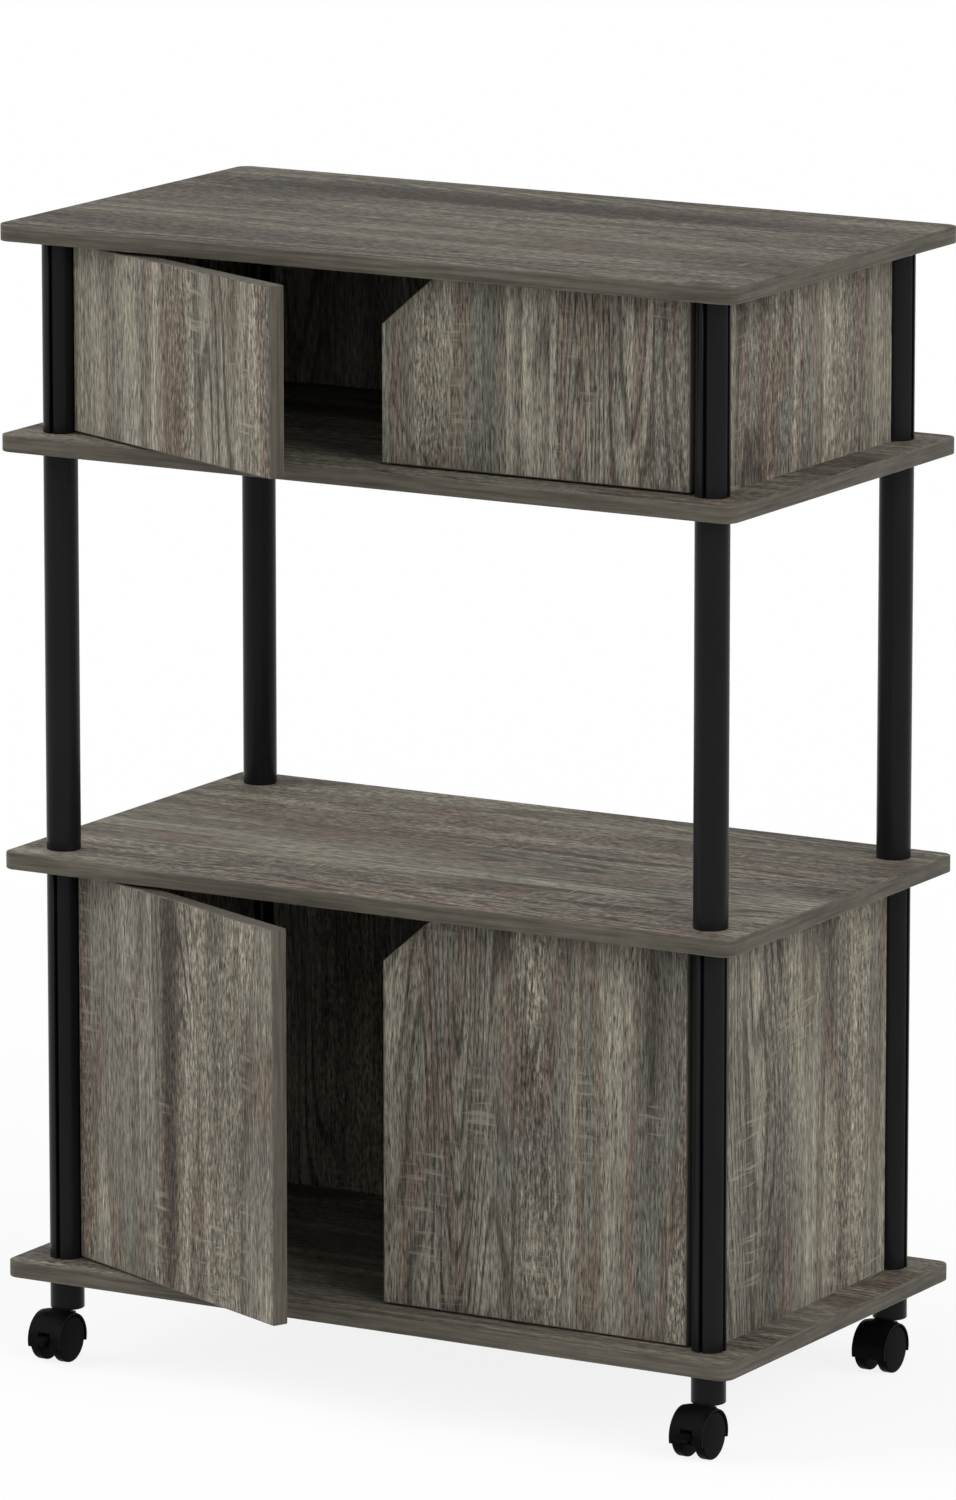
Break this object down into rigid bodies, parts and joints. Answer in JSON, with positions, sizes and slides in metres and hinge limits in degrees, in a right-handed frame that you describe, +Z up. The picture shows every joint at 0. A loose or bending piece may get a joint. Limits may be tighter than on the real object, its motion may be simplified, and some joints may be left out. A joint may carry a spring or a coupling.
{
  "type": "kitchen storage cart",
  "caption": "Rolling kitchen cart with grey-oak shelves on black tube posts, a two-door cabinet above and below an open appliance bay, and swivel twin-wheel casters with front brakes.",
  "frame": {"origin": "on the floor below the middle of the shelves, between the four casters", "axes": "+X to the cart's right seen from the front, -Y to the front where the doors open, +Z up"},
  "size_m": [0.6, 0.4106, 0.8375],
  "materials": {
    "oak_shelf": "satin",
    "oak_door": "satin",
    "oak_panel": "satin",
    "tube_black": "satin",
    "dowel_plastic": "matte",
    "pin_steel": "satin",
    "caster_plastic": "satin",
    "wheel_plastic": "gloss",
    "caster_steel": "satin"
  },
  "bodies": {
    "cart": {"shelf_bottom": "oak_shelf", "shelf_middle": "oak_shelf", "shelf_upper": "oak_shelf", "shelf_top": "oak_shelf", "lower_tube_fl": "tube_black", "bay_tube_fl": "tube_black", "upper_tube_fl": "tube_black", "lower_tube_fr": "tube_black", "bay_tube_fr": "tube_black", "upper_tube_fr": "tube_black", "lower_tube_rl": "tube_black", "bay_tube_rl": "tube_black", "upper_tube_rl": "tube_black", "lower_tube_rr": "tube_black", "bay_tube_rr": "tube_black", "upper_tube_rr": "tube_black", "lower_side_panel_left": "oak_panel", "lower_side_panel_right": "oak_panel", "lower_back_panel": "oak_panel", "upper_side_panel_left": "oak_panel", "upper_side_panel_right": "oak_panel", "upper_back_panel": "oak_panel", "tube_dowels": "dowel_plastic", "foot_tubes": "tube_black", "caster_sockets": "caster_plastic"},
    "lower_left_door": {"lower_door_left": "oak_door", "lower_door_left_pins": "pin_steel"},
    "lower_right_door": {"lower_door_right": "oak_door", "lower_door_right_pins": "pin_steel"},
    "upper_left_door": {"upper_door_left": "oak_door", "upper_door_left_pins": "pin_steel"},
    "upper_right_door": {"upper_door_right": "oak_door", "upper_door_right_pins": "pin_steel"},
    "caster_fl": {"caster_fl_hood": "caster_plastic", "caster_fl_stem": "caster_steel", "caster_fl_axle": "caster_steel"},
    "caster_fl_left_wheel": {"caster_fl_wheel_left": "wheel_plastic"},
    "caster_fl_right_wheel": {"caster_fl_wheel_right": "wheel_plastic"},
    "caster_fl_brake": {"caster_fl_brake": "caster_plastic"},
    "caster_fr": {"caster_fr_hood": "caster_plastic", "caster_fr_stem": "caster_steel", "caster_fr_axle": "caster_steel"},
    "caster_fr_left_wheel": {"caster_fr_wheel_left": "wheel_plastic"},
    "caster_fr_right_wheel": {"caster_fr_wheel_right": "wheel_plastic"},
    "caster_fr_brake": {"caster_fr_brake": "caster_plastic"},
    "caster_rl": {"caster_rl_hood": "caster_plastic", "caster_rl_stem": "caster_steel", "caster_rl_axle": "caster_steel"},
    "caster_rl_left_wheel": {"caster_rl_wheel_left": "wheel_plastic"},
    "caster_rl_right_wheel": {"caster_rl_wheel_right": "wheel_plastic"},
    "caster_rr": {"caster_rr_hood": "caster_plastic", "caster_rr_stem": "caster_steel", "caster_rr_axle": "caster_steel"},
    "caster_rr_left_wheel": {"caster_rr_wheel_left": "wheel_plastic"},
    "caster_rr_right_wheel": {"caster_rr_wheel_right": "wheel_plastic"}
  },
  "joints": [
    {"name": "lower_left_door_hinge", "type": "hinge", "parent": "cart", "child": "lower_left_door", "pos_m": [-0.2433, -0.137, 0.2209], "axis": [0, 0, -1], "range_deg": [-24.3, 85.7]},
    {"name": "lower_right_door_hinge", "type": "hinge", "parent": "cart", "child": "lower_right_door", "pos_m": [0.2433, -0.137, 0.2209], "axis": [0, 0, 1], "range_deg": [0, 110]},
    {"name": "upper_left_door_hinge", "type": "hinge", "parent": "cart", "child": "upper_left_door", "pos_m": [-0.2433, -0.137, 0.75515], "axis": [0, 0, -1], "range_deg": [-24.3, 85.7]},
    {"name": "upper_right_door_hinge", "type": "hinge", "parent": "cart", "child": "upper_right_door", "pos_m": [0.2433, -0.137, 0.75515], "axis": [0, 0, 1], "range_deg": [0, 110]},
    {"name": "caster_fl_swivel", "type": "hinge", "parent": "cart", "child": "caster_fl", "pos_m": [-0.267, -0.137, 0.03705], "axis": [0, 0, 1], "continuous": true},
    {"name": "caster_fl_left_wheel_spin", "type": "hinge", "parent": "caster_fl", "child": "caster_fl_left_wheel", "pos_m": [-0.267, -0.1514, 0.01725], "axis": [1, 0, 0], "continuous": true},
    {"name": "caster_fl_right_wheel_spin", "type": "hinge", "parent": "caster_fl", "child": "caster_fl_right_wheel", "pos_m": [-0.267, -0.1514, 0.01725], "axis": [1, 0, 0], "continuous": true},
    {"name": "caster_fl_brake_tip", "type": "hinge", "parent": "caster_fl", "child": "caster_fl_brake", "pos_m": [-0.267, -0.1624, 0.01975], "axis": [1, 0, 0], "range_deg": [0, 18]},
    {"name": "caster_fr_swivel", "type": "hinge", "parent": "cart", "child": "caster_fr", "pos_m": [0.267, -0.137, 0.03705], "axis": [0, 0, 1], "continuous": true},
    {"name": "caster_fr_left_wheel_spin", "type": "hinge", "parent": "caster_fr", "child": "caster_fr_left_wheel", "pos_m": [0.267, -0.1514, 0.01725], "axis": [1, 0, 0], "continuous": true},
    {"name": "caster_fr_right_wheel_spin", "type": "hinge", "parent": "caster_fr", "child": "caster_fr_right_wheel", "pos_m": [0.267, -0.1514, 0.01725], "axis": [1, 0, 0], "continuous": true},
    {"name": "caster_fr_brake_tip", "type": "hinge", "parent": "caster_fr", "child": "caster_fr_brake", "pos_m": [0.267, -0.1624, 0.01975], "axis": [1, 0, 0], "range_deg": [0, 18]},
    {"name": "caster_rl_swivel", "type": "hinge", "parent": "cart", "child": "caster_rl", "pos_m": [-0.267, 0.137, 0.03705], "axis": [0, 0, 1], "continuous": true},
    {"name": "caster_rl_left_wheel_spin", "type": "hinge", "parent": "caster_rl", "child": "caster_rl_left_wheel", "pos_m": [-0.267, 0.1226, 0.01725], "axis": [1, 0, 0], "continuous": true},
    {"name": "caster_rl_right_wheel_spin", "type": "hinge", "parent": "caster_rl", "child": "caster_rl_right_wheel", "pos_m": [-0.267, 0.1226, 0.01725], "axis": [1, 0, 0], "continuous": true},
    {"name": "caster_rr_swivel", "type": "hinge", "parent": "cart", "child": "caster_rr", "pos_m": [0.267, 0.137, 0.03705], "axis": [0, 0, 1], "continuous": true},
    {"name": "caster_rr_left_wheel_spin", "type": "hinge", "parent": "caster_rr", "child": "caster_rr_left_wheel", "pos_m": [0.267, 0.1226, 0.01725], "axis": [1, 0, 0], "continuous": true},
    {"name": "caster_rr_right_wheel_spin", "type": "hinge", "parent": "caster_rr", "child": "caster_rr_right_wheel", "pos_m": [0.267, 0.1226, 0.01725], "axis": [1, 0, 0], "continuous": true}
  ]
}
